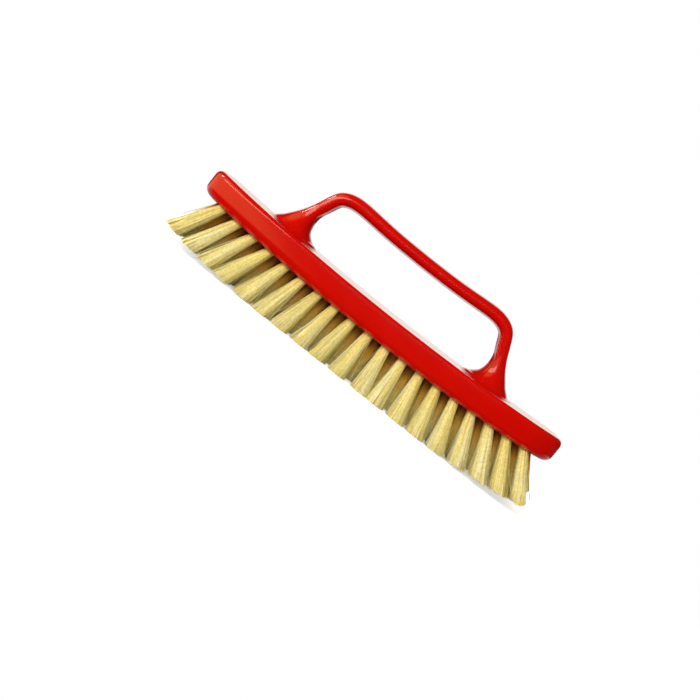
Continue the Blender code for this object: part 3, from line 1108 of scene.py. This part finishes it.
# %% The floor that the gloss mirrors
apart = add(tree, "ShaderNodeSeparateXYZ")
behind = remap(tree, -0.03, 0.08, 0.01, 1.1)
near_by = remap(tree, 0.22, 0.36, 1, 0.04)
mirrored_level = add(tree, "ShaderNodeMath", operation="MULTIPLY")
at_left = add(tree, "ShaderNodeGroup", node_tree=card)
beyond = remap(tree, 0.25, 0.4)
card_level = add(tree, "ShaderNodeMath", operation="MULTIPLY")
mirrored_colour = mix(tree, "ADD", B=CARD_COLOUR)
mirrored = add(tree, "ShaderNodeEmission")
to_gloss = add(tree, "ShaderNodeMixShader")
surface = add(tree, "ShaderNodeOutputMaterial")
connect(
    tree,
    (where, "Object", apart, "Vector"),
    (apart, "Y", behind, "Value"),
    (from_brush, "Value", near_by, "Value"),
    (behind, "Result", mirrored_level, 0),
    (near_by, "Result", mirrored_level, 1),
    (where, "Object", at_left, "Vector"),
    (from_brush, "Value", beyond, "Value"),
    (at_left, "Mask", card_level, 0),
    (beyond, "Result", card_level, 1),
    (mirrored_level, "Value", mirrored_colour, "A"),
    (card_level, "Value", mirrored_colour, "Factor"),
    (mirrored_colour, "Result", mirrored, "Color"),
    (path, "Is Glossy Ray", to_gloss, "Fac"),
    (to_camera, "Shader", to_gloss, 1),
    (mirrored, "Emission", to_gloss, 2),
    (to_gloss, "Shader", surface, "Surface"),
)
print("floor nodes:", len(tree.nodes))

# %% [markdown]
# ### The white room
# The camera sees pure white. The gloss mirrors a white backdrop, dark walls and the warm card. All
# other light from the room is an even warm fill, with one bright patch in front, a little above the
# camera, which lights the side that faces it.

# %% The white room
TOWARD_BACKDROP = (0, 0.999, 0.03)
TOWARD_FRONT = (-0.08, -0.945, 0.32)
DARK_WALL = (0.015, 0.015, 0.015, 1)
PALE_BACKDROP = (1.0, 0.96, 0.88, 1)
WARM_FILL = (0.48, 0.41, 0.28, 1)
FRONT_LIGHT = (7.0, 7.0, 7.0, 1)
PURE_WHITE = (1, 1, 1, 1)

world = bpy.data.worlds.new("white_room")
bpy.context.scene.world = world
world.use_nodes = True
tree = world.node_tree
tree.nodes.clear()
path = add(tree, "ShaderNodeLightPath")
direction = add(tree, "ShaderNodeTexCoord")
toward_backdrop = toward(tree, TOWARD_BACKDROP)
behind = remap(tree, 0.88, 0.97, interpolation_type="SMOOTHSTEP")
backdrop = mix(tree, A=DARK_WALL, B=PALE_BACKDROP)
at_left = add(tree, "ShaderNodeGroup", node_tree=card)
reflected = mix(tree, "ADD", B=CARD_COLOUR)
toward_front = toward(tree, TOWARD_FRONT)
front = remap(tree, 0.92, 1, interpolation_type="SMOOTHSTEP")
ambient = mix(tree, A=WARM_FILL, B=FRONT_LIGHT)
room = mix(tree)
through = add(tree, "ShaderNodeMath", operation="ADD", use_clamp=True)
seen = mix(tree, B=PURE_WHITE)
air = add(tree, "ShaderNodeBackground")
surroundings = add(tree, "ShaderNodeOutputWorld")
connect(
    tree,
    (direction, "Generated", toward_backdrop, 0),
    (toward_backdrop, "Value", behind, "Value"),
    (behind, "Result", backdrop, "Factor"),
    (direction, "Generated", at_left, "Vector"),
    (backdrop, "Result", reflected, "A"),
    (at_left, "Mask", reflected, "Factor"),
    (direction, "Generated", toward_front, 0),
    (toward_front, "Value", front, "Value"),
    (front, "Result", ambient, "Factor"),
    (ambient, "Result", room, "A"),
    (reflected, "Result", room, "B"),
    (path, "Is Glossy Ray", room, "Factor"),
    (path, "Is Camera Ray", through, 0),
    (path, "Is Transmission Ray", through, 1),
    (through, "Value", seen, "Factor"),
    (room, "Result", seen, "A"),
    (seen, "Result", air, "Color"),
    (air, "Background", surroundings, "Surface"),
)
print("world:", world.name)

# %% [markdown]
# ### The lamps
# Both lamps stand at the left. The low wide one is warm and lights the tufts' left sides. The small
# one behind it is white and picks out the handle.

# %% The lamps


def soft_lamp(name, place, aim, size, power, colour=(1, 1, 1)):
    """A rectangular lamp, turned to its aim."""
    lamp = bpy.data.lights.new(name, "AREA")
    lamp.shape = "RECTANGLE"
    lamp.size, lamp.size_y = size
    lamp.energy = power
    lamp.color = colour
    item = bpy.data.objects.new(name, lamp)
    item.location = place
    item.rotation_euler = (Vector(aim) - Vector(place)).to_track_quat("-Z", "Y").to_euler()
    bpy.context.scene.collection.objects.link(item)


soft_lamp(
    "left_softbox",
    place=(-0.58, -0.56, 0.38),
    aim=(0, 0, 0.03),
    size=(1.1, 0.24),
    power=3.4,
    colour=(1.0, 0.94, 0.82),
)
soft_lamp(
    "far_left_lamp",
    place=(-0.90, 0.20, 0.50),
    aim=(0, 0, 0.04),
    size=(0.16, 0.16),
    power=1.6,
)

# %% [markdown]
# ### The camera
# The brush lies tipped in the picture, but it is simpler to leave it standing and to tip the
# camera. The lens, the distance and the roll were found by laying the CAD outline over the
# photograph.

# %% Camera at the photograph's angle
PICTURE_SIDE = 700
FOCAL_PIXELS = 1284
SENSOR_WIDTH = 36
CAMERA_PLACE = Vector((-0.0023, -0.6, 0.055))
CAMERA_AIM = Vector((-0.0023, 0, 0.0098))
CAMERA_ROLL = math.radians(38.6)
NEAREST_SEEN = 0.01

camera = bpy.data.objects.new("photo_camera", bpy.data.cameras.new("photo_camera"))
bpy.context.scene.collection.objects.link(camera)
camera.data.sensor_width = SENSOR_WIDTH
camera.data.lens = SENSOR_WIDTH * FOCAL_PIXELS / PICTURE_SIDE
camera.data.clip_start = NEAREST_SEEN
view_line = (CAMERA_AIM - CAMERA_PLACE).normalized()
level_right = view_line.cross(Vector((0, 0, 1))).normalized()
level_up = level_right.cross(view_line)
picture_right = level_right * math.cos(CAMERA_ROLL) + level_up * math.sin(CAMERA_ROLL)
picture_up = level_up * math.cos(CAMERA_ROLL) - level_right * math.sin(CAMERA_ROLL)
turn = Matrix((picture_right, picture_up, -view_line)).transposed().to_4x4()
camera.matrix_world = Matrix.Translation(CAMERA_PLACE) @ turn
bpy.context.scene.camera = camera
bpy.context.scene.view_settings.view_transform = "Standard"
print("lens in mm:", round(camera.data.lens, 1))
